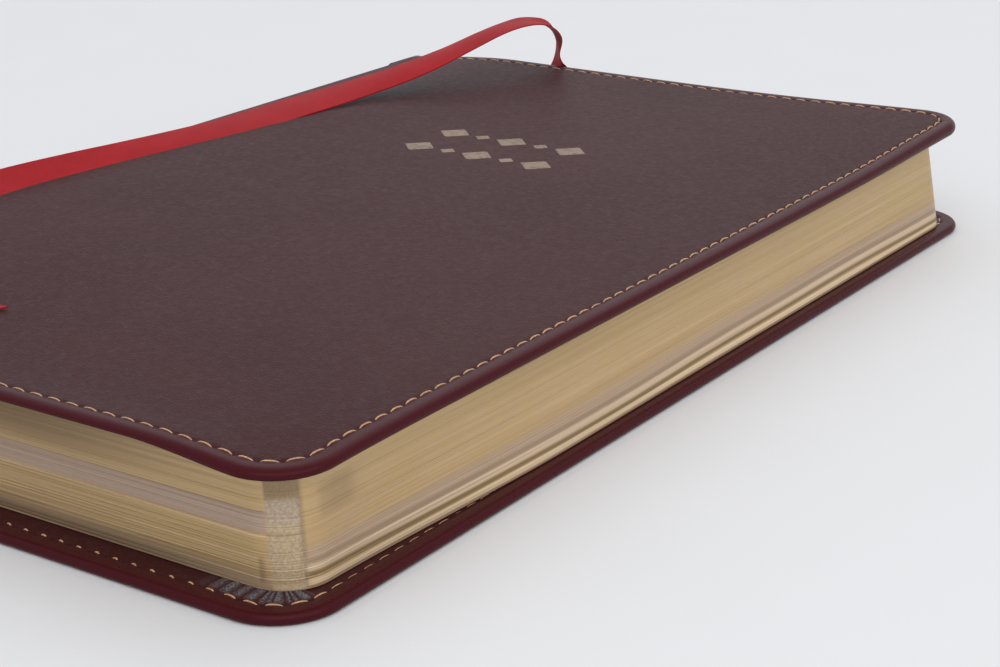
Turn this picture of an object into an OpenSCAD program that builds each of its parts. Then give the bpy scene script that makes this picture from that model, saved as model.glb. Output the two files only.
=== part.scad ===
// Prayer book with a limp leather binding: two stitched covers, a flat spine, a sewn text block
// with gilt edges, end leaves, bands and a ribbon marker. Millimetres, +Z up. The book lies on its
// back cover. X runs from the spine (-X) to the fore-edge (+X), Y from the tail (-Y) to the head (+Y).
// The origin is the centre of the book's outline, on the surface that it lies on.

/* [Book] */
// Width of a closed book, from the spine's face to the edge of a cover
cover_w = 140; // [110:1:170]
// Height of the covers, from tail to head
cover_h = 216; // [180:1:260]
// Thickness of the closed book
book_t = 21.6; // [19:0.1:28]

/* [Covers] */
// Thickness of one cover at its rolled rim
cover_t = 1.8; // [1.8:0.1:2.6]
// Radius of a cover's two outer corners
corner_r = 10; // [7:0.5:14]
// Thickness of the stiffening board inside a cover
board_t = 0.7; // [0.5:0.1:0.8]
// Distance from a cover's edge to its board
board_inset = 2; // [1.5:0.1:2.5]
// Width of the leather that is turned in round the inside of a cover
turn_in = 14; // [10:0.5:20]
// Distance from a cover's edge to the seam
seam_inset = 3.1; // [2.8:0.1:3.4]
// Diameter of the sewing thread
thread_d = 0.45; // [0.35:0.05:0.45]

/* [Text block] */
// Distance that the covers stand out past the leaves
square = 5; // [4.5:0.1:6]
// Radius of the leaves' two outer corners
leaf_corner_r = 7; // [4:0.5:10]
// Number of signatures in each half of the text block
signatures = 8; // [4:1:10]
// Thickness of a fly leaf
flyleaf_t = 0.2; // [0.15:0.05:0.3]

/* [Spine] */
// Thickness of the spine's leather
spine_leather_t = 0.8; // [0.6:0.1:1]
// Thickness of the card that stiffens the spine
spine_card_t = 0.4; // [0.3:0.1:0.6]
// Thickness of the cloth that is glued to the backs of the signatures
spine_cloth_t = 0.3; // [0.2:0.1:0.4]
// Diameter of the bands at the head and tail of the spine
band_d = 1.6; // [1.2:0.1:2]

/* [Ornament] */
// Width of the two stamped rows of lozenges on the front cover
ornament_w = 34; // [24:1:40]
// Height of the two rows together
ornament_h = 24; // [20:1:30]

/* [Ribbon] */
// Width of the ribbon marker
ribbon_w = 10; // [6:0.5:12]
// Thickness of the ribbon outside the book
ribbon_t = 0.4; // [0.3:0.1:0.5]

/* [Hidden] */
edge_x = cover_w / 2;
edge_y = cover_h / 2;
rim_r = cover_t / 2;
mid_z = book_t / 2;
front_z = book_t - cover_t; // inner face of the front cover
opening_gap = 0.05; // play on each side of a plane where the book opens
ribbon_room = 0.3; // gap between the front fly leaf and the front cover, where the ribbon passes
leather_skin = 0.5; // leather between a board and the outside of its cover
joint_w = 1.6; // width over which a cover's inner face is pared down to its hinge
joint_skin = 0.3; // leather left at the hinge
foil_t = 0.2;
ornament_x = 0.5; // centre of the ornament on the front cover
ornament_y = 39;
spine_turn_in = 14; // height of the leather that is turned in at the head and tail of the spine
spine_x = -edge_x;
card_x = spine_x + spine_leather_t;
cloth_x = card_x + spine_card_t;
leaf_x = cloth_x + spine_cloth_t; // backs of the signatures
fore_x = edge_x - square; // fore-edge of the leaves
leaf_y = edge_y - square; // head and tail of the leaves
lower_z0 = cover_t + 2 * opening_gap + flyleaf_t;
lower_z1 = mid_z - opening_gap;
upper_z0 = mid_z + opening_gap;
upper_z1 = front_z - ribbon_room - flyleaf_t;
round_fn = 64;

// Ribbon: x, y, z of its centre line and the heading of its width, in degrees from +X.
// It leaves the head of the book, turns up over the cover's edge, comes down along the spine
// side of the front cover and curls back near the tail.
ribbon_route = [
    [-31, 104.1, 18.7, 0],
    [-31, 106.5, 18.3, -8],
    [-31, 109.4, 18.8, -25],
    [-31, 111, 21.6, -45],
    [-31, 110.6, 25.6, -55],
    [-31, 108, 29.6, -45],
    [-32, 103, 32.2, -30],
    [-33.5, 97, 33, -22],
    [-35.5, 90, 32.4, -18],
    [-38.5, 80, 30.2, -16],
    [-42, 68, 27.2, -16],
    [-46, 54, 24.4, -15],
    [-49.5, 40, 22.7, -14],
    [-53, 25, 22.1, -13],
    [-57, 8, 22, -12],
    [-60.5, -9, 22, -10],
    [-63, -27, 22, -5],
    [-63.6, -44, 22, 8],
    [-60.6, -60, 22, 28],
    [-52.5, -74, 22, 48],
    [-40, -83, 22, 66],
    [-26, -86.6, 22, 82],
    [-14, -86.4, 22, 94],
    [-3, -84.6, 22, 100],
];
ribbon_steps = 3; // rings between two points of the route

// A plate from x0 to x1 and -y to y, with round corners of radius r on the fore-edge side
module fore_plate(x0, x1, y, r, z0, z1) {
    translate([0, 0, z0]) linear_extrude(z1 - z0) {
        translate([x0, -y]) square([x1 - r - x0, 2 * y]);
        translate([x1 - r - 1, r - y]) square([r + 1, 2 * (y - r)]);
        for (side = [-1, 1]) translate([x1 - r, side * (y - r)]) circle(r, $fn = round_fn);
    }
}

// A rod of radius r round the three open sides of a cover, its centre line inset from the edge
module cover_rod(inset, r, z, x0) {
    bend = corner_r - inset;
    corner_x = edge_x - corner_r;
    corner_y = edge_y - corner_r;
    for (side = [-1, 1]) {
        translate([x0, side * (edge_y - inset), z]) rotate([0, 90, 0])
            cylinder(h = corner_x - x0, r = r, $fn = round_fn);
        translate([corner_x, side * corner_y, z]) rotate([0, 0, side < 0 ? -90 : 0])
            rotate_extrude(angle = 90, $fn = round_fn) translate([bend, 0]) circle(r, $fn = round_fn);
    }
    translate([edge_x - inset, -corner_y, z]) rotate([-90, 0, 0])
        cylinder(h = 2 * corner_y, r = r, $fn = round_fn);
}

// Rods along a cover's seam, at a depth below its outer face (z = 0) and its inner face (z = cover_t)
module seam(depth) {
    for (z = [depth, cover_t - depth])
        cover_rod(seam_inset, thread_d / 2, z, spine_x + 2);
}

// The wedge that is pared from a cover's inner face along the spine, so that the cover can swing
module joint_paring() {
    rotate([90, 0, 0]) linear_extrude(cover_h + 2, center = true)
        polygon([
            [spine_x - 1, joint_skin], [spine_x, joint_skin], [spine_x + joint_w, cover_t],
            [spine_x + joint_w, cover_t + 1], [spine_x - 1, cover_t + 1],
        ]);
}

// A cover's leather, outer face down: rolled rim, room for the board, turned-in border, seam grooves
module cover_leather() {
    color("#4a2a30") difference() {
        union() {
            fore_plate(spine_x, edge_x - rim_r, edge_y - rim_r, corner_r - rim_r, 0, cover_t);
            cover_rod(rim_r, rim_r, rim_r, spine_x);
        }
        cover_board();
        cover_lining();
        seam(thread_d / 2);
        seam(0);
        joint_paring();
    }
}

module cover_board() {
    color("#8a7a66")
        fore_plate(spine_x + 4, edge_x - board_inset, edge_y - board_inset,
            corner_r - board_inset, leather_skin, leather_skin + board_t);
}

module cover_lining() {
    color("#2c2226")
        fore_plate(spine_x + 2, edge_x - turn_in, edge_y - turn_in, 3,
            leather_skin + board_t, cover_t);
}

module cover_stitching() { color("#b98a55") seam(thread_d / 2); }

// Turns a piece of the lower half into its twin in the upper half
module turned_over() {
    translate([0, 0, book_t]) mirror([0, 0, 1]) children();
}

// Two rows of lozenges, large and small in turn
module ornament_shape() {
    pitch = ornament_w / 5;
    translate([ornament_x, ornament_y]) for (row = [-1, 1], step = [-2:2])
        translate([step * pitch, row * ornament_h / 4]) rotate(45)
            square(pitch * (step % 2 == 0 ? 0.9 : 0.45), center = true);
}

module front_cover_leather() {
    difference() {
        turned_over() cover_leather();
        front_cover_ornament();
    }
}

module front_cover_ornament() {
    color("#b99a6a") translate([0, 0, book_t - foil_t]) linear_extrude(foil_t) ornament_shape();
}

// Spine leather between two heights, with its turned-in ends
module spine_leather(z0, z1) {
    color("#4a2a30") {
        translate([spine_x, -edge_y + rim_r, z0])
            cube([spine_leather_t, 2 * (edge_y - rim_r), z1 - z0]);
        for (side = [-1, 1]) {
            translate([spine_x + rim_r, side * (edge_y - rim_r), z0])
                intersection() {
                    cylinder(h = z1 - z0, r = rim_r, $fn = round_fn);
                    translate([-rim_r, side < 0 ? -rim_r : 0, 0]) cube([2 * rim_r, rim_r, z1 - z0]);
                }
            translate([card_x, side < 0 ? -edge_y + rim_r : leaf_y + 0.5, z0])
                cube([2 * rim_r - spine_leather_t, square - rim_r - 0.5, z1 - z0]);
        }
    }
}

module spine_card(z0, z1) {
    color("#8a7a66") translate([card_x, -leaf_y + 1, z0])
        cube([spine_card_t, 2 * (leaf_y - 1), z1 - z0]);
}

module spine_cloth(z0, z1) {
    color("#d8d2c2") translate([cloth_x, -leaf_y + 1, z0])
        cube([spine_cloth_t, 2 * (leaf_y - 1), z1 - z0]);
}

// A band across the spine end of the leaves; side is 1 at the head and -1 at the tail
module end_band(side, z0, z1) {
    color("#8c2f33") translate([leaf_x + band_d / 2 + 1, side * (leaf_y + band_d / 2), z0])
        cylinder(h = z1 - z0, r = band_d / 2, $fn = round_fn);
}

module flyleaf(z0) {
    color("#efe9da") fore_plate(leaf_x, fore_x, leaf_y, leaf_corner_r, z0, z0 + flyleaf_t);
}

// One of the equal signatures between two heights, with a round folded back
module signature(i, z0, z1) {
    t = (z1 - z0) / signatures;
    z = z0 + (i - 1) * t;
    color("#b99b62") {
        fore_plate(leaf_x + t / 2, fore_x, leaf_y, leaf_corner_r, z, z + t);
        translate([leaf_x + t / 2, -leaf_y, z + t / 2]) rotate([-90, 0, 0])
            cylinder(h = 2 * leaf_y, r = t / 2, $fn = round_fn);
    }
}

// Catmull-Rom curve through the route's points
function route_at(p, i, u) =
    let (a = p[max(i - 1, 0)], b = p[i], c = p[i + 1], d = p[min(i + 2, len(p) - 1)])
    ((2 * b) + (c - a) * u + (2 * a - 5 * b + 4 * c - d) * u * u
        + (3 * b - a - 3 * c + d) * u * u * u) / 2;
ribbon_line = concat(
    [for (i = [0:len(ribbon_route) - 2], k = [0:ribbon_steps - 1])
        route_at(ribbon_route, i, k / ribbon_steps)],
    [ribbon_route[len(ribbon_route) - 1]]
);
function xyz(p) = [p[0], p[1], p[2]];
function unit(v) = v / norm(v);

// The four corners of the ribbon's section at ring i
function ribbon_ring(i) =
    let (
        n = len(ribbon_line) - 1,
        along = unit(xyz(ribbon_line[min(i + 1, n)]) - xyz(ribbon_line[max(i - 1, 0)])),
        level = [cos(ribbon_line[i][3]), sin(ribbon_line[i][3]), 0],
        across = unit(level - along * (level * along)),
        up = cross(across, along)
    )
    [for (c = [[-1, -1], [1, -1], [1, 1], [-1, 1]])
        xyz(ribbon_line[i]) + across * c[0] * ribbon_w / 2 + up * c[1] * ribbon_t / 2];

module ribbon_outer() {
    n = len(ribbon_line) - 1;
    corners = [for (i = [0:n]) each ribbon_ring(i)];
    sides = [for (i = [0:n - 1], k = [0:3])
        [4 * i + k, 4 * i + (k + 1) % 4, 4 * i + 4 + (k + 1) % 4, 4 * i + 4 + k]];
    color("#a82830") polyhedron(corners,
        concat([[3, 2, 1, 0]], sides, [[4 * n, 4 * n + 1, 4 * n + 2, 4 * n + 3]]));
}

// The ribbon's hidden run, from the gutter across the fly leaf to the head
module ribbon_inner() {
    x1 = ribbon_route[0][0];
    y1 = ribbon_route[0][1];
    color("#a82830") translate([0, 0, front_z - 0.22]) linear_extrude(0.2)
        polygon([
            [leaf_x + 1, 74], [leaf_x + 1, 86],
            [x1 - ribbon_w / 2, y1], [x1 + ribbon_w / 2, y1], [x1 + ribbon_w / 2, y1 - 4],
        ]);
}

cover_leather();  // back_cover_leather
cover_board();  // back_cover_board
cover_lining();  // back_cover_lining
cover_stitching();  // back_cover_stitching
front_cover_leather();
turned_over() cover_board();  // front_cover_board
turned_over() cover_lining();  // front_cover_lining
turned_over() cover_stitching();  // front_cover_stitching
front_cover_ornament();
ribbon_outer();
ribbon_inner();
spine_leather(cover_t + opening_gap, lower_z1);  // spine_leather_lower
spine_card(cover_t + opening_gap, lower_z1);  // spine_card_lower
spine_cloth(cover_t + opening_gap, lower_z1);  // spine_cloth_lower
spine_leather(upper_z0, front_z - opening_gap);  // spine_leather_upper
spine_card(upper_z0, front_z - opening_gap);  // spine_card_upper
spine_cloth(upper_z0, front_z - opening_gap);  // spine_cloth_upper
end_band(1, lower_z0, lower_z1);  // head_band_lower
end_band(-1, lower_z0, lower_z1);  // tail_band_lower
end_band(1, upper_z0, upper_z1);  // head_band_upper
end_band(-1, upper_z0, upper_z1);  // tail_band_upper
flyleaf(lower_z0 - flyleaf_t);  // back_flyleaf
flyleaf(upper_z1);  // front_flyleaf
for (i = [1:signatures]) {
    signature(i, lower_z0, lower_z1);
    signature(i, upper_z0, upper_z1);
}
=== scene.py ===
"""The looks of the prayer book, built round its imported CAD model. Lengths in this script are in
millimetres and make() turns them into metres; X runs from the spine to the fore-edge, Y from the
tail to the head and Z up from the back cover."""

import math

import bmesh
import bpy
import numpy as np
from mathutils import Matrix, Vector


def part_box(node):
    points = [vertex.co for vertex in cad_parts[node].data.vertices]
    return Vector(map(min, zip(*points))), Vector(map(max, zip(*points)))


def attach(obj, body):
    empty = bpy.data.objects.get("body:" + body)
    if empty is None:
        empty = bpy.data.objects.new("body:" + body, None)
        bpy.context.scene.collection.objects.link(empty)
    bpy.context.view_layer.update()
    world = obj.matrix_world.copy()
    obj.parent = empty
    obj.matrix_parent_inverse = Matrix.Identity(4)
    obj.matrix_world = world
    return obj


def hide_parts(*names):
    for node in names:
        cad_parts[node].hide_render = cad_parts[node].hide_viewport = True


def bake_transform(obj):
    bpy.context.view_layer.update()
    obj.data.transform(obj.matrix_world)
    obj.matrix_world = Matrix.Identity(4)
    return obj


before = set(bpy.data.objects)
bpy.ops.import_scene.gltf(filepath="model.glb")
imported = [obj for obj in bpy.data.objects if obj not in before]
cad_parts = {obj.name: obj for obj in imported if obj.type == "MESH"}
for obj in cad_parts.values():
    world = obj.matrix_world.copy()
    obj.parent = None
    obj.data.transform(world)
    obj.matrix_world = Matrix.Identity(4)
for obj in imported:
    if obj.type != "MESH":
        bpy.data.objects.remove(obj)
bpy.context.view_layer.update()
MM = 0.001
rng = np.random.default_rng(7)


# ---------------------------------------------------------------- sizes, from the CAD model

def box_mm(node):
    low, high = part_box(node)
    return np.array(low) / MM, np.array(high) / MM


cover_low, cover_high = box_mm("back_cover_leather")
SPINE_X, EDGE_X, EDGE_Y = cover_low[0], cover_high[0], cover_high[1]
COVER_T = cover_high[2]
BOOK_T = box_mm("front_cover_leather")[1][2]
MID_Z = BOOK_T / 2
CORNER_R = 10.0
lining_low, lining_high = box_mm("back_cover_lining")
board_low, board_high = box_mm("back_cover_board")
spine_low, spine_high = box_mm("spine_leather_lower")
SPINE_T = spine_high[0] - spine_low[0]
HINGE_R = 1.4  # outer radius of the leather where a cover meets the spine
SPINE_CUT = 5.0  # distance from a cover's outer face to where its leather meets the spine's
SEAM_INSET = 3.1
STITCH = 3.39  # wanted length of a stitch
THREAD_R = 0.145
SEAM_X = SPINE_X + 3.5
RIBBON_W = 10.0
RIBBON_T = 0.25

# The ribbon's centre line, the heading of its width in degrees from +X and its bank, positive
# where its spine side is up: the hidden run over the fly leaf, then round the head and down the
# front cover.
RIBBON_HIDDEN = [
    [-67, 77, 19.66, -62, 0],
    [-58, 80, 19.66, -62, 0],
    [-48, 84.5, 19.66, -57, 0],
    [-39, 90.5, 19.66, -44, 0],
    [-33, 97.5, 19.6, -20, 0],
    [-31, 101.5, 19.3, -4, 0],
]
RIBBON_ROUTE = [
    [-31, 104.1, 18.7, 0, 0],
    [-31, 106.5, 18.3, -8, 0],
    [-31, 109.4, 18.8, -25, 0],
    [-31, 111, 21.6, -45, 0],
    [-31, 110.6, 25.6, -55, 0],
    [-31, 108, 29.6, -45, 0],
    [-32, 103, 32.2, -30, -2],
    [-33.5, 97, 33, -22, -6],
    [-35.7, 90, 32.2, -18, -8],
    [-38.8, 80.5, 29.5, -16, -6],
    [-43, 71, 26.3, -16, 0],
    [-48, 62, 24.4, -16, 4],
    [-51.4, 52, 23.3, -15, 6],
    [-53.6, 40, 22.7, -14, 7],
    [-54.8, 26, 22.3, -14, 8],
    [-56.8, 12.5, 22.2, -13, 11],
    [-58.7, 0, 22.3, -12, 15],
    [-60.8, -12, 22.4, -10, 18],
    [-63, -27, 22.4, -5, 18],
    [-63.6, -44, 22.1, 8, 9],
    [-60.6, -60, 22, 28, 0],
    [-52.5, -74, 22, 48, 0],
    [-40, -83, 22, 66, 0],
    [-26, -86.6, 22, 82, 0],
    [-14, -86.4, 22, 94, 0],
    [-9.5, -85.8, 22, 97, 0],
]


# ---------------------------------------------------------------- small helpers

def ease(a, b, x):
    """0 before a, 1 after b, smooth between them."""
    t = np.clip((np.asarray(x, float) - a) / (b - a), 0, 1)
    return t * t * (3 - 2 * t)


def make(name, points, faces, material, attributes=None, sharp=38):
    """A mesh piece from points in millimetres. Doubled points are merged."""
    mesh = bpy.data.meshes.new(name)
    mesh.from_pydata((np.asarray(points, float) * MM).tolist(), [], faces)
    for key, values in (attributes or {}).items():
        mesh.attributes.new(key, "FLOAT", "POINT").data.foreach_set(
            "value", np.asarray(values, np.float32))
    bm = bmesh.new()
    bm.from_mesh(mesh)
    bmesh.ops.remove_doubles(bm, verts=bm.verts, dist=2e-7)
    bmesh.ops.recalc_face_normals(bm, faces=bm.faces)
    bm.to_mesh(mesh)
    bm.free()
    mesh.polygons.foreach_set("use_smooth", [True] * len(mesh.polygons))
    mesh.set_sharp_from_angle(angle=math.radians(sharp))
    mesh.materials.append(material)
    obj = bpy.data.objects.new(name, mesh)
    bpy.context.scene.collection.objects.link(obj)
    return obj


def dress(obj, body, slot, *nodes):
    """Rides a piece on a body and hides the CAD nodes that it stands for. Its finish's name is not
    used.
    """
    if body:
        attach(obj, body)
    if nodes:
        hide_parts(*nodes)
    return obj


# ---------------------------------------------------------------- materials

class Nodes:
    """A material's node tree, with short calls for the nodes that this script uses."""

    def __init__(self, name):
        self.material = bpy.data.materials.new(name)
        self.material.use_nodes = True
        self.tree = self.material.node_tree
        self.shader = self.tree.nodes["Principled BSDF"]
        self.place = self.tree.nodes.new("ShaderNodeTexCoord").outputs["Object"]

    def add(self, kind, inputs=None, **settings):
        node = self.tree.nodes.new("ShaderNode" + kind)
        for key, value in settings.items():
            setattr(node, key, value)
        for key, value in (inputs or {}).items():
            self.put(node.inputs[key], value)
        return node

    def put(self, socket, value):
        if isinstance(value, bpy.types.NodeSocket):
            self.tree.links.new(value, socket)
        else:
            socket.default_value = value

    def set(self, **values):
        for key, value in values.items():
            self.put(self.shader.inputs[key.replace("_", " ")], value)

    def attribute(self, name):
        return self.add("Attribute", attribute_name=name).outputs["Fac"]

    def stretched(self, scale):
        return self.add("Mapping", {"Vector": self.place, "Scale": scale}).outputs[0]

    def noise(self, scale, detail=3.0, rough=0.5, place=None):
        return self.add("TexNoise", {"Vector": place or self.place, "Scale": scale,
                                     "Detail": detail, "Roughness": rough}).outputs["Fac"]

    def cells(self, scale, feature="F1"):
        return self.add("TexVoronoi", {"Vector": self.place, "Scale": scale},
                        feature=feature).outputs["Distance"]

    def ramp(self, value, low, high, a=0.0, b=1.0):
        return self.add("MapRange", {"Value": value, "From Min": low, "From Max": high,
                                     "To Min": a, "To Max": b}, clamp=True).outputs[0]

    def math(self, operation, a, b):
        return self.add("Math", {0: a, 1: b}, operation=operation).outputs[0]

    def mix(self, factor, a, b):
        node = self.tree.nodes.new("ShaderNodeMix")
        node.data_type = "RGBA"
        self.put(node.inputs["Factor"], factor)
        self.put(node.inputs["A"], a)
        self.put(node.inputs["B"], b)
        return node.outputs["Result"]

    def bump(self, height, strength, distance, normal=None):
        inputs = {"Height": height, "Strength": strength, "Distance": distance}
        if normal is not None:
            inputs["Normal"] = normal
        return self.add("Bump", inputs).outputs[0]


def rgb(r, g, b):
    return (r, g, b, 1.0)


def leather_material():
    """Fine pebbled burgundy-brown leather, with a smooth polished rim where `rim` is 1, and painted
    grey on the ridges of its pleats: a painted sheen, broken up like rubbed, cracked grain."""
    n = Nodes("leather")
    rim = n.attribute("rim")
    ridge_sheen_and_wear = n.attribute("ridge_sheen_and_wear")
    cells = n.cells(1500.0, "DISTANCE_TO_EDGE")
    pebble = n.ramp(cells, 0.0, 0.25)
    fine = n.noise(4200.0, 3.0, 0.55)
    cloud = n.noise(22.0, 3.0, 0.55)
    fleck = n.noise(900.0, 3.0, 0.6)
    tone = n.mix(n.ramp(cloud, 0.35, 0.68), rgb(0.042, 0.0095, 0.0095), rgb(0.054, 0.0135, 0.013))
    flecked = n.mix(n.ramp(fleck, 0.5, 0.72, 0.0, 0.55), tone, rgb(0.058, 0.026, 0.026))
    pitted = n.mix(n.ramp(cells, 0.0, 0.12, 0.6, 0.0), flecked, rgb(0.036, 0.005, 0.008))
    edged = n.mix(n.math("MULTIPLY", rim, 0.95), pitted, rgb(0.052, 0.0052, 0.0085))
    # painted sheen: grey on the ridges of the pleats, broken by fine noise like rubbed, cracked grain
    sheened_and_worn = n.mix(n.math("MULTIPLY", ridge_sheen_and_wear, n.ramp(fine, 0.35, 0.6)), edged, rgb(0.17, 0.18, 0.20))
    grain = n.math("ADD", n.math("MULTIPLY", pebble, 0.6), n.math("MULTIPLY", fine, 0.4))
    flat = n.math("SUBTRACT", 1.0, n.math("MULTIPLY", rim, 0.92))
    n.set(Base_Color=sheened_and_worn,
          Roughness=n.math("SUBTRACT", n.ramp(fleck, 0.3, 0.7, 0.50, 0.42),
                           n.math("MULTIPLY", rim, 0.16)),
          Specular_IOR_Level=0.08,
          Normal=n.bump(n.math("MULTIPLY", grain, flat), 0.5, 0.00009))
    return n.material


def lining_material():
    n = Nodes("lining")
    cells = n.cells(1700.0)
    fine = n.noise(4000.0, 3.0)
    n.set(Base_Color=n.mix(n.ramp(n.noise(60.0), 0.3, 0.7),
                           rgb(0.022, 0.014, 0.016), rgb(0.036, 0.024, 0.026)),
          Roughness=n.ramp(fine, 0.3, 0.7, 0.55, 0.7),
          Normal=n.bump(n.math("ADD", cells, fine), 0.4, 0.0001))
    return n.material


def board_material():
    n = Nodes("board")
    fibre = n.noise(900.0, 5.0, 0.65)
    n.set(Base_Color=n.mix(fibre, rgb(0.24, 0.19, 0.14), rgb(0.36, 0.30, 0.23)),
          Roughness=0.9, Normal=n.bump(fibre, 0.5, 0.0001))
    return n.material


def weave(n, pitch):
    """The height of a plain weave whose threads are a pitch apart, in metres."""
    turn = 2 * math.pi / pitch
    axes = n.add("SeparateXYZ", {0: n.place}).outputs
    waves = [n.math("SINE", n.math("MULTIPLY", a, turn), 0.0) for a in axes]
    return n.math("MULTIPLY", n.math("ADD", waves[0], waves[2]), waves[1])


def cloth_material():
    n = Nodes("cloth")
    height = weave(n, 0.0009)
    n.set(Base_Color=n.mix(n.noise(700.0), rgb(0.60, 0.56, 0.46), rgb(0.76, 0.72, 0.62)),
          Roughness=0.92, Normal=n.bump(height, 0.5, 0.0001))
    return n.material


def thread_material():
    """Waxed golden-tan thread, twisted."""
    n = Nodes("thread")
    twist = n.noise(2600.0, 2.0)
    n.set(Base_Color=n.mix(n.ramp(twist, 0.3, 0.7), rgb(0.36, 0.17, 0.075), rgb(0.62, 0.36, 0.19)),
          Roughness=0.36, Sheen_Weight=0.1, Sheen_Roughness=0.4,
          Normal=n.bump(twist, 0.4, 0.00006))
    return n.material


def ribbon_material():
    """Red satin: fine lengthwise threads and crosswise ribs, from the piece's own coordinates."""
    n = Nodes("ribbon")
    along = n.attribute("along")
    across = n.attribute("across")
    threads = n.math("SINE", n.math("MULTIPLY", across, 2 * math.pi * 34), 0.0)
    ribs = n.math("SINE", n.math("MULTIPLY", along, 2 * math.pi / 0.55), 0.0)
    slub = n.noise(160.0, 4.0, 0.6)
    tone = n.mix(n.ramp(slub, 0.3, 0.7), rgb(0.29, 0.0035, 0.007), rgb(0.37, 0.006, 0.010))
    height = n.math("ADD", n.math("MULTIPLY", threads, 0.6), n.math("MULTIPLY", ribs, 0.4))
    n.set(Base_Color=tone, Roughness=0.55, Specular_IOR_Level=0.11, Anisotropic=0.3,
          Normal=n.bump(height, 0.3, 0.00005))
    return n.material


def band_material():
    """Silk band with stripes across it."""
    n = Nodes("band")
    n.set(Base_Color=n.mix(n.attribute("stripe"), rgb(0.32, 0.02, 0.03), rgb(0.62, 0.50, 0.30)),
          Roughness=0.5, Sheen_Weight=0.3, Normal=n.bump(n.noise(3000.0), 0.4, 0.0001))
    return n.material


def paper_material(name, low, high):
    n = Nodes(name)
    fibre = n.noise(1500.0, 5.0, 0.6)
    n.set(Base_Color=n.mix(n.ramp(n.noise(35.0, 4.0), 0.3, 0.7), rgb(*low), rgb(*high)),
          Roughness=n.ramp(fibre, 0.3, 0.7, 0.72, 0.88), Normal=n.bump(fibre, 0.25, 0.00005))
    return n.material


def gilt_material():
    """Gilded leaf edges with streaks that follow the leaves: rubbed where `wear` is 1, mauve where
    `cool` is, darker where `dark` is (partly painted shade, partly darker streaks), bare cream
    where `pale` is and finely lined where `lined` is."""
    n = Nodes("gilt")
    wear, cool, dark, pale, fine = [n.attribute(key)
                                    for key in ("wear", "cool", "dark", "pale", "lined")]
    leaves = n.noise(1.0, 3.0, 0.62, n.stretched((10.0, 10.0, 4200.0)))
    bands = n.noise(1.0, 2.0, 0.6, n.stretched((7.0, 7.0, 900.0)))
    cloud = n.noise(60.0, 3.0, 0.6)
    speck = n.noise(4200.0, 2.0, 0.7)
    smear = n.noise(1.0, 3.0, 0.6, n.stretched((160.0, 160.0, 420.0)))
    gold = n.mix(n.ramp(bands, 0.32, 0.68), rgb(0.50, 0.34, 0.165), rgb(0.57, 0.40, 0.21))
    aged = n.mix(n.ramp(cloud, 0.42, 0.72, 0.0, 0.4), gold, rgb(0.50, 0.36, 0.145))
    stained = n.mix(n.ramp(smear, 0.55, 0.75, 0.0, 0.35), aged, rgb(0.48, 0.33, 0.21))
    cooled = n.mix(cool, stained, rgb(0.44, 0.325, 0.265))
    # darker where `dark` is: partly painted shade, partly darker streaks along the leaves
    painted_shade_and_streaks = n.mix(dark, cooled, rgb(0.19, 0.12, 0.062))
    lines = n.math("MULTIPLY", n.ramp(leaves, 0.34, 0.54, 1.0, 0.0),
                   n.ramp(fine, 0.0, 1.0, 0.10, 0.42))
    ruled = n.mix(lines, painted_shade_and_streaks, rgb(0.20, 0.125, 0.07))
    lined = n.mix(pale, ruled, rgb(0.90, 0.70, 0.45))
    rubbed = n.math("MULTIPLY", wear, n.ramp(speck, 0.34, 0.64, 0.35, 1.0))
    grey = n.mix(n.ramp(n.noise(2600.0, 2.0), 0.42, 0.62), rgb(0.34, 0.27, 0.19),
                 rgb(0.50, 0.42, 0.30))
    n.set(Base_Color=n.mix(rubbed, lined, grey),
          Metallic=n.math("SUBTRACT", 0.5, n.math("MULTIPLY", wear, 0.2)),
          Roughness=n.ramp(leaves, 0.3, 0.7, 0.50, 0.40),
          Normal=n.bump(n.math("ADD", n.math("MULTIPLY", leaves, 0.6),
                               n.math("MULTIPLY", speck, n.ramp(wear, 0.0, 1.0, 0.08, 0.9))),
                        0.4, 0.00008))
    return n.material


def foil_material():
    """Stamped foil, a little rubbed by handling."""
    n = Nodes("foil")
    rub = n.ramp(n.noise(900.0, 4.0, 0.7), 0.50, 0.64)
    n.set(Base_Color=n.mix(rub, rgb(0.27, 0.19, 0.125), rgb(0.10, 0.06, 0.045)),
          Metallic=n.math("SUBTRACT", 0.45, n.math("MULTIPLY", rub, 0.4)), Roughness=0.5,
          Normal=n.bump(n.cells(1500.0), 0.35, 0.0001))
    return n.material


LEATHER = leather_material()
LINING = lining_material()
BOARD = board_material()
CLOTH = cloth_material()
THREAD = thread_material()
RIBBON = ribbon_material()
BAND = band_material()
END_LEAF = paper_material("end_leaf", (0.66, 0.60, 0.49), (0.76, 0.71, 0.60))
PAGE = paper_material("page", (0.74, 0.70, 0.61), (0.82, 0.79, 0.71))
GILT = gilt_material()
FOIL = foil_material()
EDGE = paper_material("fly_leaf_edge", (0.20, 0.13, 0.075), (0.30, 0.20, 0.12))


# ---------------------------------------------------------------- plans

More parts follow.
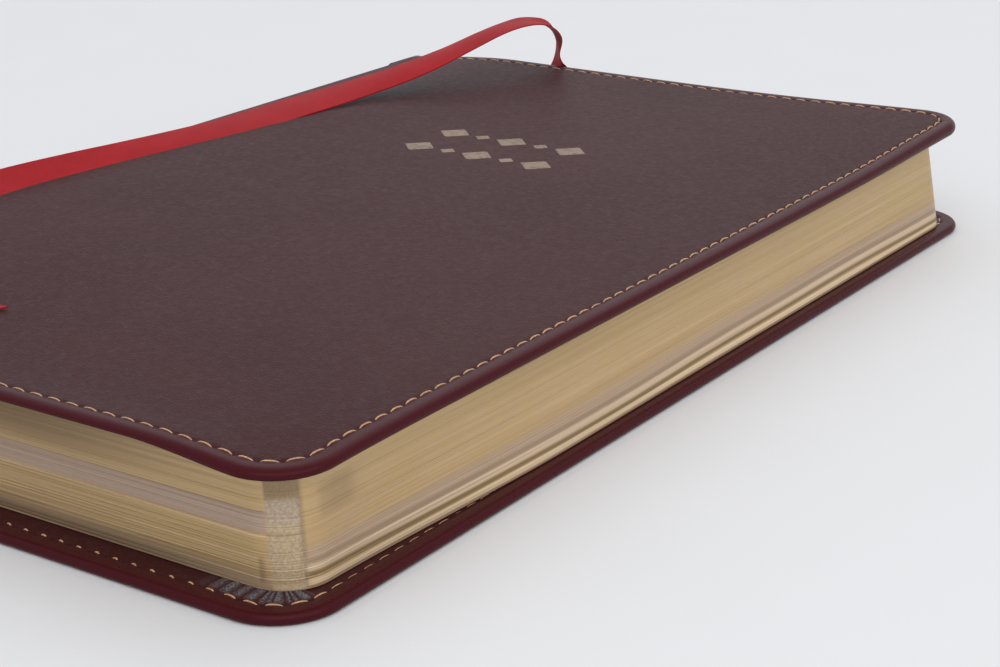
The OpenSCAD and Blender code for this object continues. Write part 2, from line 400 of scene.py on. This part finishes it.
class Plan:
    """A plate seen from above, square at x0 and round at its two other corners. Stations run
    round its three open sides from tail to head; rows of points lie at each inset from the
    outline down to the corner radius, and a coarser grid fills what is inside them."""

    def __init__(self, x0, x1, y1, r, insets, step, corner_steps, coarse=5, seam=0.0):
        self.x0, self.x1, self.y1 = x0, x1, y1
        self.r = r

        def steps(length):
            return max(coarse, coarse * round(length / step / coarse))

        side_x = np.linspace(x0, x1 - r, steps(x1 - r - x0) + 1)
        fore_y = np.linspace(r - y1, y1 - r, steps(2 * (y1 - r)) + 1)
        turn = np.radians(np.linspace(0, 90, corner_steps + 1)[1:-1])
        base, normal, angle = [], [], []
        for x in side_x:
            base.append((x, r - y1)), normal.append((0, -1)), angle.append(0)
        for a in turn:
            base.append((x1 - r, r - y1)), normal.append((math.sin(a), -math.cos(a)))
            angle.append(a)
        for y in fore_y:
            base.append((x1 - r, y)), normal.append((1, 0)), angle.append(0)
        for a in turn:
            base.append((x1 - r, y1 - r)), normal.append((math.cos(a), math.sin(a)))
            angle.append(a)
        for x in side_x[::-1]:
            base.append((x, y1 - r)), normal.append((0, 1)), angle.append(0)
        self.base, self.normal = np.array(base), np.array(normal, float)
        count, rows = len(base), len(insets)
        line = self.base + (r - seam) * self.normal
        run = np.concatenate([[0], np.cumsum(np.linalg.norm(np.diff(line, axis=0), axis=1))])

        ring = [self.base[i] + (r - d) * self.normal[i] for i in range(count) for d in insets]
        inset = [d for i in range(count) for d in insets]
        along = [run[i] for i in range(count) for d in insets]
        bend = [angle[i] for i in range(count) for d in insets]

        def at(i, k):
            return i * rows + k

        faces = [[at(i, k), at(i, k + 1), at(i + 1, k + 1), at(i + 1, k)]
                 for i in range(count - 1) for k in range(rows - 1)]
        nx, ny = (len(side_x) - 1) // coarse, (len(fore_y) - 1) // coarse
        fore_start = len(side_x) + len(turn)
        last = rows - 1
        inner = {}
        for i in range(nx):
            for j in range(1, ny):
                inner[i, j] = len(ring)
                x, y = side_x[i * coarse], fore_y[j * coarse]
                ring.append((x, y))
                inset.append(min(x1 - x, y1 - abs(y)))
                along.append(0)
                bend.append(0)

        def tail(i):
            return at(i, last)

        def head(i):
            return at(count - 1 - i, last)

        def fore(j):
            return at(fore_start + j, last)

        def corner(i, j):
            if j == 0:
                return tail(i * coarse)
            if j == ny:
                return head(i * coarse)
            return fore(j * coarse) if i == nx else inner[i, j]

        for i in range(nx):
            for j in range(ny):
                face = [corner(i, j)]
                if j == 0:
                    face += [tail(i * coarse + m) for m in range(1, coarse)]
                face.append(corner(i + 1, j))
                if i + 1 == nx:
                    face += [fore(j * coarse + m) for m in range(1, coarse)]
                face.append(corner(i + 1, j + 1))
                if j + 1 == ny:
                    face += [head(i * coarse + m) for m in range(coarse - 1, 0, -1)]
                face.append(corner(i, j + 1))
                faces.append(face)
        self.faces = faces
        self.xy = np.array(ring)
        self.inset, self.along, self.bend = np.array(inset), np.array(along), np.array(bend)
        self.length = run[-1]
        self.rim = ([at(i, 0) for i in range(count)]
                    + [at(count - 1, k) for k in range(1, rows)]
                    + [inner[0, j] for j in range(ny - 1, 0, -1)]
                    + [at(0, k) for k in range(rows - 1, 0, -1)])


def shell(name, plan, top, bottom, material, attributes=None):
    """A closed piece between two sets of points on one plan."""
    n = len(plan.xy)
    faces = [list(f) for f in plan.faces] + [[i + n for i in f[::-1]] for f in plan.faces]
    loop = plan.rim
    faces += [[a, b, b + n, a + n] for a, b in zip(loop, loop[1:] + loop[:1])]
    doubled = {k: np.concatenate(v) for k, v in (attributes or {}).items()}
    return make(name, np.concatenate([top, bottom]), faces, material, doubled)


def turned_over(points):
    """The twin in the upper half of points in the lower half."""
    return points * [1, 1, -1] + [0, 0, BOOK_T]


def plate(name, x0, x1, y1, r, z0, z1, material, upper, cover=False, edge=None):
    """A thin sheet with slightly rounded edges, in the lower half or turned over to the upper.
    Its rim can have a material of its own."""
    round_edge = 0.05
    plan = Plan(x0, x1, y1, r, [0, round_edge, 0.6, r], 4.0, 10, 1)
    soft = round_edge * (plan.inset < round_edge / 2)
    low = np.column_stack([plan.xy, z0 + soft])
    high = np.column_stack([plan.xy, z1 - soft])
    if upper:
        low, high = turned_over(low), turned_over(high)
    piece = shell(name, plan, lie(low, cover), lie(high, cover), material)
    if edge:
        piece.data.materials.append(edge)
        for face in piece.data.polygons:
            x, y, _ = face.center / MM
            over_x, over_y = x - x1 + r, abs(y) - y1 + r
            rim = r - (math.hypot(over_x, over_y) if min(over_x, over_y) > 0
                       else max(over_x, over_y))
            if x > x0 + 1 and rim < 0.55:
                face.material_index = 1
    return piece


def lie(points, cover=False):
    """How a limp book lies: it thins towards the spine and its leaves lean out at the bottom of
    the fore-edge. Its back cover stands out a little past the front one, whose tail edge and far
    corner lift."""
    x, y, z = np.asarray(points, float).T
    share = z / BOOK_T
    drop = 2.4 * ease(-40, -76, x) * share
    if cover:
        low = ease(5, COVER_T, z)
        tail = ease(-97, -107, y) * ease(63, 42, x) * ease(BOOK_T - 5, BOOK_T - COVER_T, z)
        curl = 1.3 * np.exp(-((EDGE_X - x) ** 2 + (EDGE_Y - y) ** 2) / 34 ** 2)
        dip = 0.65 * np.exp(-((EDGE_X - x) ** 2 + (EDGE_Y + y) ** 2) / 12 ** 2)
        drop = drop + dip * share ** 6 - tail * (0.7 + 0.6 * (BOOK_T - z) / COVER_T) - curl * share ** 6
        x = x + 0.8 * low * (x - SPINE_X) / (EDGE_X - SPINE_X)
        y = y + 1.5 * low * y / EDGE_Y
    else:
        lean = (1.5 + 2.3 * ease(-98, -40, y)) * (1 - share)
        x = x + lean * ease(SPINE_X, EDGE_X - 10, x)
    return np.column_stack([x, y, z - drop])


# ---------------------------------------------------------------- cover leather

# lengths of a seam along one end of a cover, round one corner and down the fore-edge
SEAM_SIDE = EDGE_X - CORNER_R - SEAM_X
SEAM_ARC = (CORNER_R - SEAM_INSET) * math.pi / 2
SEAM_FORE = 2 * (EDGE_Y - CORNER_R)

RIM_INSETS = [0, 0.03, 0.1, 0.22, 0.38, 0.58, 0.85, 1.2, 1.7, 2.15, 2.5, 2.75, 2.95, 3.15, 3.35,
              3.6, 3.9, 4.4, 5.2, 6.4, 8.0, CORNER_R]
ARC = HINGE_R * math.pi / 2
WRAP_X = SPINE_X + HINGE_R - ARC - (SPINE_CUT - HINGE_R)


def leather_thickness(u, d):
    """Thickness of the leather and what it holds, at u along its face and d from its edge."""
    cover = COVER_T - 0.25 * ease(12.0, 14.0, d)
    joint = 1.0
    spine = SPINE_T + 0.9 * (1 - ease(3.0, 4.0, d))
    hinge = SPINE_X + HINGE_R
    near = joint + (cover - joint) * ease(hinge, hinge + 2.2, u)
    return near + (spine - joint) * (1 - ease(hinge - ARC - 1.2, hinge - ARC, u))


def edge_round(d, thickness):
    """Depth of a full round edge at d from it."""
    r = thickness / 2
    inside = np.clip(r - d, 0, r)
    return r - np.sqrt(np.maximum(r * r - inside * inside, 0))


def leather_skins(u, y, d, along, bend, pitch, upper):
    """Points on the outer and on the inner face of a cover's leather, outer face down."""
    thick = leather_thickness(u, d)
    rounded = edge_round(d, leather_thickness(u, np.zeros_like(d)))
    sewn = ease(SEAM_X - 0.5, SEAM_X, u) * (along > 0)
    groove = np.exp(-((d - SEAM_INSET) / 0.40) ** 2) * sewn
    hole = (0.5 + 0.5 * np.cos(2 * math.pi * along / pitch)) ** 3
    roll = 0.07 * np.exp(-((d - 1.5) / 0.7) ** 2) * sewn
    border = 0.10 * (1 - ease(12.5, 15.0, d)) * ease(SEAM_X + 8, SEAM_X + 11, u)
    if upper:
        outer = rounded + groove * (0.02 + 0.30 * hole) - (roll + border) * ease(0.3, 1.2, d)
    else:
        outer = rounded + groove * (0.34 + 0.12 * hole)
    near = np.minimum(along, 2 * SEAM_SIDE + 2 * SEAM_ARC + SEAM_FORE - along)
    window = ease(SEAM_SIDE - 10, SEAM_SIDE - 4, near) * ease(SEAM_SIDE + SEAM_ARC,
                                                             SEAM_SIDE + 0.8 * SEAM_ARC, near)
    ridges = np.abs(np.cos(math.pi * (along / 1.35 + 0.25 * np.sin(1.7 * along)))) ** 1.5
    pleats = (along > 0) * window * ease(3.3, 3.8, d) * ease(9.0, 6.5, d) * ridges
    inner = thick - rounded - groove * (0.08 + 0.22 * hole) + 0.28 * pleats
    hinge = SPINE_X + HINGE_R

    def folded(depth):
        turn = np.clip((hinge - u) / HINGE_R, 0, math.pi / 2)
        past = np.maximum(hinge - ARC - u, 0)
        flat = np.maximum(u, hinge)
        reach = HINGE_R - depth
        x = np.where(turn > 0, hinge - reach * np.sin(turn), flat)
        z = HINGE_R - reach * np.cos(turn) + past
        return np.column_stack([x, y, z])

    return folded(outer), folded(inner), pleats


def cover_leather(name, upper):
    seam = seam_line()
    pitch = seam.length / seam.count
    plan = Plan(WRAP_X, EDGE_X, EDGE_Y, CORNER_R, RIM_INSETS, STITCH / 5, 40, 5, SEAM_INSET)
    u, y = plan.xy.T
    along = np.where(plan.along > 0, np.maximum(plan.along - (SEAM_X - WRAP_X), 1e-6), 0)
    outer, inner, pleats = leather_skins(u, y, plan.inset, along, plan.bend, pitch, upper)
    if upper:
        outer, inner = turned_over(outer), turned_over(inner)
    rim = 1 - ease(2.0, 3.1, plan.inset)
    nothing = np.zeros_like(rim)
    # the pleats' ridges on the inner face take a painted grey sheen in the leather
    piece = shell(name, plan, lie(outer, True), lie(inner, True), LEATHER,
                  {"rim": (rim, rim), "ridge_sheen_and_wear": (nothing, pleats)})
    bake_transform(piece)
    return piece


def spine_middle():
    """The spine's leather between the two covers' pieces, with close rings round its middle, where the
    book opens.
    """
    ends = np.array(RIM_INSETS)
    y_half = np.concatenate([EDGE_Y - ends, np.linspace(EDGE_Y - CORNER_R, 0, 20)[1:]])
    ys = np.concatenate([y_half, -y_half[-2::-1]])
    d = EDGE_Y - np.abs(ys)
    u = np.full_like(d, WRAP_X)
    thick = leather_thickness(u, d)
    rounded = edge_round(d, leather_thickness(u, np.zeros_like(d)))
    fold = MID_Z + 1.2 * np.linspace(-1, 1, 15)
    zs = np.concatenate([np.linspace(SPINE_CUT, fold[0], 5)[:-1], fold,
                         np.linspace(fold[-1], BOOK_T - SPINE_CUT, 5)[1:]])
    loop = [(SPINE_X + rounded[i], ys[i]) for i in range(len(ys))]
    loop += [(SPINE_X + thick[i] - rounded[i], ys[i]) for i in range(len(ys) - 2, 0, -1)]
    points, faces = sweep([[(x, y, z) for x, y in loop] for z in zs])
    rim = [1 - ease(2.3, 3.2, EDGE_Y - abs(p[1])) for p in points]
    piece = make("spine_leather", lie(points), faces, LEATHER, {"rim": rim, "ridge_sheen_and_wear": [0.0] * len(rim)})
    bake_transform(piece)
    return piece


def sweep(rings):
    """Points and faces of a closed tube through rings of points, with flat ends."""
    k = len(rings[0])
    points = np.concatenate([np.asarray(r, float) for r in rings])
    faces = [[a * k + i, a * k + (i + 1) % k, (a + 1) * k + (i + 1) % k, (a + 1) * k + i]
             for a in range(len(rings) - 1) for i in range(k)]
    faces += [list(range(k))[::-1], [(len(rings) - 1) * k + i for i in range(k)]]
    return points, faces


# ---------------------------------------------------------------- seams

class seam_line:
    """The line of a cover's seam, from the tail's spine end round to the head's."""

    def __init__(self):
        self.bend = CORNER_R - SEAM_INSET
        self.side, self.arc = SEAM_SIDE, SEAM_ARC
        self.length = 2 * SEAM_SIDE + 2 * SEAM_ARC + SEAM_FORE
        self.count = round(self.length / STITCH)

    def at(self, s):
        """The point at a distance s along the line, and the direction outward from the cover."""
        cx, cy = EDGE_X - CORNER_R, EDGE_Y - CORNER_R
        if s > self.length / 2:
            (x, y), (a, b) = self.at(self.length - s)
            return (x, -y), (a, -b)
        if s < self.side:
            return (SEAM_X + s, -cy - self.bend), (0, -1)
        if s < self.side + self.arc:
            a = (s - self.side) / self.bend
            out = (math.sin(a), -math.cos(a))
            return (cx + self.bend * out[0], -cy + self.bend * out[1]), out
        return (cx + self.bend, -cy + s - self.side - self.arc), (1, 0)


def stitches(name, body, node, upper):
    """One seam's thread on both faces of a cover: each stitch rises from its hole and dives into
    the next one. Under the book the thread is pressed flush with the leather."""
    seam = seam_line()
    pitch = seam.length / seam.count
    points, faces = [], []
    for face in (-1, 1):
        crown, dive, power = (0.11, 0.40, 3.2) if face < 0 else (-0.03, 0.34, 3.0)
        if face < 0 and not upper:
            crown, dive, power = -THREAD_R - 0.03, 0.30, 4.0
        for j in range(seam.count):
            middle = (j + 0.5) * pitch
            reach = 0.41 * pitch
            if face > 0:
                past = ease(seam.side - 12, seam.side, min(middle, seam.length - middle))
                reach *= 0.45 + 0.5 * past
                far = ease(seam.side + seam.arc - 2, seam.side + seam.arc + 5,
                           min(middle, seam.length - middle))
                crown = -0.03 - 0.09 * far
                reach *= 1 + 0.2 * far
            thin = 1 - 0.4 * far if face > 0 else 1
            tilt, lift, shift = rng.normal(0, 0.03), rng.normal(0, 0.02), rng.normal(0, 0.03)
            rings = []
            for q in np.linspace(-1, 1, 11):
                (x, y), (a, b) = seam.at(middle + reach * q)
                side = (0.10 + tilt) * q + shift - 0.10 * (1 - q * q)
                level = crown + min(lift, 0.02 if upper else 0) - dive * abs(q) ** power
                r = THREAD_R * thin * (1 - 0.25 * q ** 4)
                z = -level if face < 0 else COVER_T + level
                centre = np.array([x + side * a, y + side * b, z])
                rings.append([centre + r * (math.cos(t) * np.array([a, b, 0])
                                            + math.sin(t) * np.array([0, 0, 1]))
                              for t in np.linspace(0, 2 * math.pi, 9)[:-1]])
            more, quads = sweep(rings)
            faces += [[i + len(points) * len(more) for i in f] for f in quads]
            points.append(more)
    points = np.concatenate(points)
    if upper:
        points = turned_over(points)
    dress(make(name, lie(points, True), faces, THREAD, sharp=70), body, "thread", node)


# ---------------------------------------------------------------- leaves

LEAF_R = 7.0
LEAF_GAP = 0.02  # from the middle of the book to the leaves on either side
GILT_EDGE = 0.4  # width of the gilt rim that the top and bottom of a signature show
SUNK = ("lower_signature_8", "upper_signature_1", "upper_signature_2")


def signature(node, body, z0, z1, upper):
    """A signature of folded leaves: every few leaves end a little further in or out. The sunk
    signatures stand back at the tail."""
    low, high = box_mm(node)
    plan = Plan(low[0] + (z1 - z0) / 2, high[0], high[1], LEAF_R, [0, LEAF_R], 2.6, 30, 1)
    base, normal = plan.base, plan.normal
    count, layers = len(base), 6
    run = np.concatenate([[0], np.cumsum(np.linalg.norm(
        np.diff(base + LEAF_R * normal, axis=0), axis=1))])
    middle = (z0 + z1) / 2
    tail = ease(0.3, 0.7, -normal[:, 1])
    sunk = 0.22 * tail if node in SUNK else 0 * tail
    rings, levels = [], []

    def ring(z, inset):
        back = low[0] + (z1 - z0) / 2 - math.sqrt(max(
            ((z1 - z0) / 2) ** 2 - (z - middle) ** 2, 0))
        edge = base + (LEAF_R - inset)[:, None] * normal
        edge[0, 0] = edge[-1, 0] = back
        rings.append(np.column_stack([edge, np.full(count, z)]))
        levels.append(z)

    for k in range(layers):
        wave = rng.uniform(0.004, 0.016) * np.sin(run * rng.uniform(0.02, 0.09)
                                                + rng.uniform(0, 6.3))
        inset = 0.06 + rng.uniform(0, 0.022) + wave + sunk
        span = (z1 - z0) / layers
        for share in (0.15, 0.85):
            z = z0 + span * (k + share)
            if k == 0 and share < 0.5:
                ring(z0, inset + GILT_EDGE)
                z = z0
            if k == layers - 1 and share > 0.5:
                z = z1
            ring(z, inset)
    ring(z1, inset + GILT_EDGE)
    tints = leaf_tints(np.concatenate(rings), np.tile(normal, (len(rings), 1)))
    rings = [lie(r) for r in rings]
    points = np.concatenate(rings)
    last = len(rings) - 1
    faces = [[a * count + i, a * count + i + 1, (a + 1) * count + i + 1, (a + 1) * count + i]
             for a in range(last) for i in range(count - 1)]
    faces += [[a * count, (a + 1) * count, (a + 2) * count - 1, (a + 1) * count - 1]
              for a in range(1, last - 1)]
    sides = len(faces)
    for a, flip in ((0, 1), (last, -1)):
        for i in range(count // 2):
            strip = dict.fromkeys([i, i + 1, count - 2 - i, count - 1 - i])
            faces.append([a * count + j for j in strip][::flip])
    piece = make("leaves_" + node, points, faces, GILT, tints, 30)
    piece.data.materials.append(PAGE)
    for face in piece.data.polygons[sides:]:
        face.material_index = 1
        face.use_smooth = False
    dress(piece, body, "gilt_leaves", node)


def band_between(z, low, high, soft):
    """1 from low to high, fading to 0 over a soft distance on both sides."""
    return ease(low - soft, low, z) * (1 - ease(high, high + soft, z))


def leaf_tints(points, normal):
    """Where the gilding is rubbed, mauve, darker (partly painted shade) or pale, on the leaves' edges.
    """
    x, y, z = points.T
    turn = np.degrees(np.arctan2(normal[:, 0], -normal[:, 1]))
    tail, fore = ease(24, 18, turn), ease(55, 66, turn) * (1 - ease(120, 130, turn))
    corner = ease(21, 23, turn) * (1 - ease(58, 63, turn))
    far_corner = ease(112, 122, turn) * (1 - ease(150, 160, turn))
    wave = 0.20 * np.sin(y / 23.0) + 0.08 * np.sin(y / 9.0 + 1)
    group = tail * band_between(z, 9.7, 12.95, 0.05)
    pink = fore * band_between(z, 4.25 + wave, 4.85 + wave, 0.25)
    haze = fore * band_between(z, 5.2 + wave, 6.8 + wave, 1.2)
    wear = corner * (0.85 - 0.25 * ease(6, 2.5, z)) * (1 - 0.75 * ease(14.2, 15.2, z))
    wear = np.maximum(wear, 0.7 * far_corner)
    cool = np.maximum(0.85 * group, np.maximum(0.9 * pink, 0.55 * haze))
    cool = np.maximum(cool, 0.45 * tail * ease(5, 3, z))
    cool = np.maximum(cool, 0.7 * corner * band_between(z, 11.5, 14.5, 0.6))
    # Darker marks on the gilt. Painted shade: the tail face darker towards its top and its spine end,
    # and a dark line under the step above the sunk signatures. The others are darker streaks and lines
    # along the leaves, a darker bottom on the fore-edge and tail, and a darker top at the corner
    # between them.
    painted_shade_and_streaks = [
        0.75 * fore * band_between(z, 3.4 + wave, 3.8 + wave, 0.2),
        0.35 * fore * band_between(z, 5.3 + wave, 5.7 + wave, 0.4),
        0.60 * fore * ease(2.35, 2.15, z),
        # painted shade: these two make the tail face darker towards its top and towards the spine end
        0.85 * tail * ease(11, 16.5, z) * ease(62, 15, x),
        0.22 * tail * ease(75, 10, x),
        0.75 * corner * ease(14.2, 15.2, z),
        0.70 * tail * ease(5, 2.4, z) * ease(66, 30, x),
        # painted shadow: a dark line under the step where the sunk signatures end
        0.70 * tail * band_between(z, 12.9, 13.1, 0.05),
        0.70 * band_between(turn, 58.5, 61.5, 2.5),
        0.50 * band_between(turn, 10, 13, 4) * band_between(z, 3.5, 6, 1.2),
        0.35 * band_between(y, -95, -90, 2.5) * fore * band_between(z, 12, 15, 1.5),
    ]
    dark = np.max(painted_shade_and_streaks, axis=0)
    pale = np.maximum(0.85 * fore * band_between(z, 2.4, 3.0 + wave / 2, 0.2), 0.5 * pink)
    pale = np.maximum(pale, 0.5 * corner * ease(2.9, 2.5, z))
    pale = np.maximum(pale, 0.40 * tail * band_between(z, 9.45, 9.68, 0.04))
    lined = np.maximum(tail * ease(8, 15, z), 0.15)
    return {"wear": wear, "cool": cool, "dark": dark, "pale": pale, "lined": lined}


def end_band(node, body):
    """A silk band with ribs, across the spine end of the leaves."""
    low, high = box_mm(node)
    cx, cy = (low[0] + high[0]) / 2, (low[1] + high[1]) / 2
    r = (high[0] - low[0]) / 2
    zs = np.linspace(low[2], high[2], 66)
    ribs = 0.5 + 0.5 * np.cos(2 * math.pi * (zs - MID_Z) / 0.75)
    angles = np.linspace(0, 2 * math.pi, 15)[:-1]
    rings = [[(cx + (r - 0.14 * (1 - w)) * math.cos(a), cy + (r - 0.14 * (1 - w)) * math.sin(a), z)
              for a in angles] for z, w in zip(zs, ribs)]
    stripe = ease(-0.2, 0.2, np.sin(2 * math.pi * (zs - MID_Z) / 3.0))
    points, faces = sweep(rings)
    piece = make("silk_" + node, lie(points), faces, BAND,
                 {"stripe": np.repeat(stripe, len(angles))})
    dress(piece, body, "band", node)


def spine_strip(node, material):
    """A strip of card or cloth down the inside of one half of the spine."""
    low, high = box_mm(node)
    loop = [(low[0], 0), (low[0], 1), (high[0], 1), (high[0], 0)]
    rings = [[(x, y, low[2] + share * (high[2] - low[2])) for x, share in loop]
             for y in np.linspace(low[1], high[1], 25)]
    points, faces = sweep(rings)
    return make(f"{node}_strip", lie(points), faces, material)


def gutter():
    """The fold of the middle leaves, a narrow strip from one half to the other."""
    low, high = box_mm("lower_signature_8")
    x0, y1, gap = low[0] + 0.05, high[1] - 0.3, 0.7 * LEAF_GAP
    profile = [(0.8, -gap)] + [(0, q * gap) for q in np.linspace(-1, 1, 15)] + [(0.8, gap)]
    rows = [lie([(x0, y, MID_Z + z) for _, z in profile]) + [(x, 0, 0) for x, _ in profile]
            for y in np.linspace(-y1, y1, 60)]
    k = len(profile)
    faces = [[a * k + i, a * k + i + 1, (a + 1) * k + i + 1, (a + 1) * k + i]
             for a in range(len(rows) - 1) for i in range(k - 1)]
    piece = make("middle_leaves", np.concatenate(rows), faces, PAGE)
    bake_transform(piece)


# ---------------------------------------------------------------- ribbon and ornament

def smooth_route(route, steps):
    """Catmull-Rom curve through a list of points."""
    p = np.array(route, float)
    line = []
    for i in range(len(p) - 1):
        a, b, c, d = p[max(i - 1, 0)], p[i], p[i + 1], p[min(i + 2, len(p) - 1)]
        for u in np.arange(steps) / steps:
            line.append((2 * b + (c - a) * u + (2 * a - 5 * b + 4 * c - d) * u * u
                         + (3 * b - a - 3 * c + d) * u ** 3) / 2)
    return np.array(line + [p[-1]])


def ribbon():
    """The marker, one satin strip from the gutter to its slanted free end."""
    line = smooth_route(RIBBON_HIDDEN + RIBBON_ROUTE, 6)
    centre = line[:, :3]
    tangent = np.gradient(centre, axis=0)
    tangent /= np.linalg.norm(tangent, axis=1)[:, None]
    heading = np.radians(line[:, 3])
    level = np.column_stack([np.cos(heading), np.sin(heading), np.zeros(len(line))])
    across = level - tangent * np.sum(level * tangent, axis=1)[:, None]
    across /= np.linalg.norm(across, axis=1)[:, None]
    up = np.cross(across, tangent)
    run = np.concatenate([[0], np.cumsum(np.linalg.norm(np.diff(centre, axis=0), axis=1))])
    bank = -np.radians(line[:, 4])
    centre = centre + up * (np.abs(np.sin(bank)) * RIBBON_W / 2)[:, None]
    across, up = (across * np.cos(bank)[:, None] - up * np.sin(bank)[:, None],
                  up * np.cos(bank)[:, None] + across * np.sin(bank)[:, None])
    shares = np.linspace(-1, 1, 9)
    free = ease(20, 40, run - run[len(RIBBON_HIDDEN) * 6])
    cup = 0.5 * free * (1 - ease(150, 200, run))
    rings = []
    for i in range(len(line)):
        slant = 2.5 * (1 if i == len(line) - 1 else 0)
        top, bottom = [], []
        for w in shares:
            mid = (centre[i] + across[i] * w * RIBBON_W / 2 + up[i] * cup[i] * (w * w - 0.4)
                   + tangent[i] * slant * w)
            thick = RIBBON_T / 2 * (1.0 if abs(w) > 0.9 else 0.8)
            top.append(mid + up[i] * thick)
            bottom.append(mid - up[i] * thick)
        rings.append(top + bottom[::-1])
    hidden = len(RIBBON_HIDDEN) * 6
    rings[:hidden] = [lie(ring) for ring in rings[:hidden]]
    points, faces = sweep(rings)
    k = len(rings[0])
    both = np.concatenate([shares, shares[::-1]])
    piece = make("ribbon", points, faces, RIBBON,
                 {"along": np.repeat(run, k), "across": np.tile(both, len(rings))}, 60)
    dress(piece, "front_cover", "ribbon", "ribbon_outer", "ribbon_inner")
    return run[-1]


def ornament():
    """Two rows of stamped foil lozenges, large and small in turn."""
    low, high = box_mm("front_cover_ornament")
    pitch = (high[0] - low[0]) / (4 + 0.9 * math.sqrt(2))
    cx, cy = (low[0] + high[0]) / 2, (low[1] + high[1]) / 2
    row = (high[1] - low[1]) / 2 - 0.9 * pitch / math.sqrt(2)
    points, faces = [], []
    side = np.linspace(-1, 1, 7)
    for line in (-1, 1):
        for step in range(-2, 3):
            half = pitch * (0.9 if step % 2 == 0 else 0.45) / math.sqrt(2)
            x, y = cx + step * pitch, cy + line * row
            start = len(points)
            for a in side:
                for b in side:
                    edge = max(abs(a), abs(b))
                    points.append((x + half * (a + b) / 2, y + half * (a - b) / 2,
                                   high[2] + (0.035 if edge < 0.9 else -0.05)))
            k = len(side)
            faces += [[start + i * k + j, start + i * k + j + 1, start + (i + 1) * k + j + 1,
                       start + (i + 1) * k + j] for i in range(k - 1) for j in range(k - 1)]
    piece = make("foil_ornament", lie(points, True), faces, FOIL)
    thick = piece.modifiers.new("thickness", "SOLIDIFY")
    thick.thickness = 0.00008
    dress(piece, "front_cover", "foil", "front_cover_ornament")


# ---------------------------------------------------------------- the book

def covers():
    for side, pages in (("back", "back_pages"), ("front", "front_pages")):
        upper = side == "front"
        body = side + "_cover"
        leather = cover_leather(f"{body}_leather_skin", upper)
        dress(leather, None, "leather", f"{body}_leather")
        inner_z = COVER_T - 0.3
        lining = plate(f"{body}_pastedown", lining_low[0] + 2, lining_high[0], lining_high[1], 3.0,
                       inner_z, COVER_T - 0.04, LINING, upper, cover=True)
        dress(lining, body, "lining", f"{body}_lining")
        board = plate(f"{body}_stiffener", board_low[0], board_high[0], board_high[1],
                      CORNER_R - EDGE_X + board_high[0], board_low[2], board_high[2], BOARD,
                      upper, cover=True)
        dress(board, body, "board", f"{body}_board")
        stitches(f"{body}_thread", body, f"{body}_stitching", upper)
    dress(spine_middle(), None, "leather", "spine_leather_lower", "spine_leather_upper")


def text_block():
    for half, body in (("lower", "back_pages"), ("upper", "front_pages")):
        for i in range(1, 9):
            node = f"{half}_signature_{i}"
            low, high = box_mm(node)
            z0, z1 = low[2], high[2]
            if abs(z1 - MID_Z) < LEAF_GAP * 4:
                z1 = MID_Z - LEAF_GAP
            if abs(z0 - MID_Z) < LEAF_GAP * 4:
                z0 = MID_Z + LEAF_GAP
            signature(node, body, z0, z1, half == "upper")
        for end in ("head", "tail"):
            end_band(f"{end}_band_{half}", body)
        for part, material, slot in (("card", BOARD, "board"), ("cloth", CLOTH, "cloth")):
            node = f"spine_{part}_{half}"
            dress(spine_strip(node, material), body, slot, node)
    for side, upper in (("back", False), ("front", True)):
        low, high = box_mm("back_flyleaf")
        leaf = plate(f"{side}_fly_leaf", low[0], high[0], high[1], LEAF_R, low[2], high[2],
                     END_LEAF, upper, edge=EDGE)
        dress(leaf, side + "_pages", "end_leaf", side + "_flyleaf")
    gutter()


# ---------------------------------------------------------------- stage

def camera():
    data = bpy.data.cameras.new("camera")
    data.lens, data.sensor_width = 77.37, 36
    data.clip_start = 0.01
    cam = bpy.data.objects.new("camera", data)
    forward = Vector((-0.5326, 0.7771, -0.3353)).normalized()
    right = Vector((0.8268, 0.5624, -0.0097))
    right = (right - right.dot(forward) * forward).normalized()
    turn = Matrix((right, right.cross(forward), -forward)).transposed()
    cam.location = (0.2302, -0.2948, 0.1277)
    cam.rotation_mode = "QUATERNION"
    cam.rotation_quaternion = turn.to_quaternion()
    bpy.context.scene.collection.objects.link(cam)
    bpy.context.scene.camera = cam


def area_light(name, place, target, size, power, colour):
    data = bpy.data.lights.new(name, "AREA")
    data.shape, data.size, data.energy, data.color = "SQUARE", size, power, colour
    lamp = bpy.data.objects.new(name, data)
    lamp.location = place
    lamp.rotation_mode = "QUATERNION"
    lamp.rotation_quaternion = (Vector(target) - Vector(place)).to_track_quat("-Z", "Y")
    bpy.context.scene.collection.objects.link(lamp)


def stage():
    mesh = bpy.data.meshes.new("floor")
    mesh.from_pydata([(-6, -6, 0), (6, -6, 0), (6, 6, 0), (-6, 6, 0)], [], [(0, 1, 2, 3)])
    n = Nodes("floor")
    n.set(Base_Color=n.mix(n.noise(40.0), rgb(0.735, 0.737, 0.74), rgb(0.75, 0.752, 0.755)),
          Roughness=0.75, Specular_IOR_Level=0.2)
    mesh.materials.append(n.material)
    floor = bpy.data.objects.new("floor", mesh)
    bpy.context.scene.collection.objects.link(floor)
    world = bpy.data.worlds.new("sky")
    world.use_nodes = True
    sky = world.node_tree.nodes["Background"].inputs
    sky["Color"].default_value = rgb(0.93, 0.95, 1.0)
    sky["Strength"].default_value = 0.78
    bpy.context.scene.world = world
    bpy.context.scene.view_settings.view_transform = "Standard"
    area_light("window", (-0.4, 1.2, 1.4), (0, 0, 0), 1.5, 5, (1.0, 0.99, 0.97))
    area_light("side", (1.4, -0.2, 1.0), (0, 0, 0), 1.3, 6, (1.0, 0.98, 0.95))
    area_light("front", (0.7, -1.1, 1.1), (0, 0, 0), 1.4, 9, (1.0, 0.98, 0.96))


camera()
ribbon_length = ribbon()
covers()
ornament()
text_block()
stage()
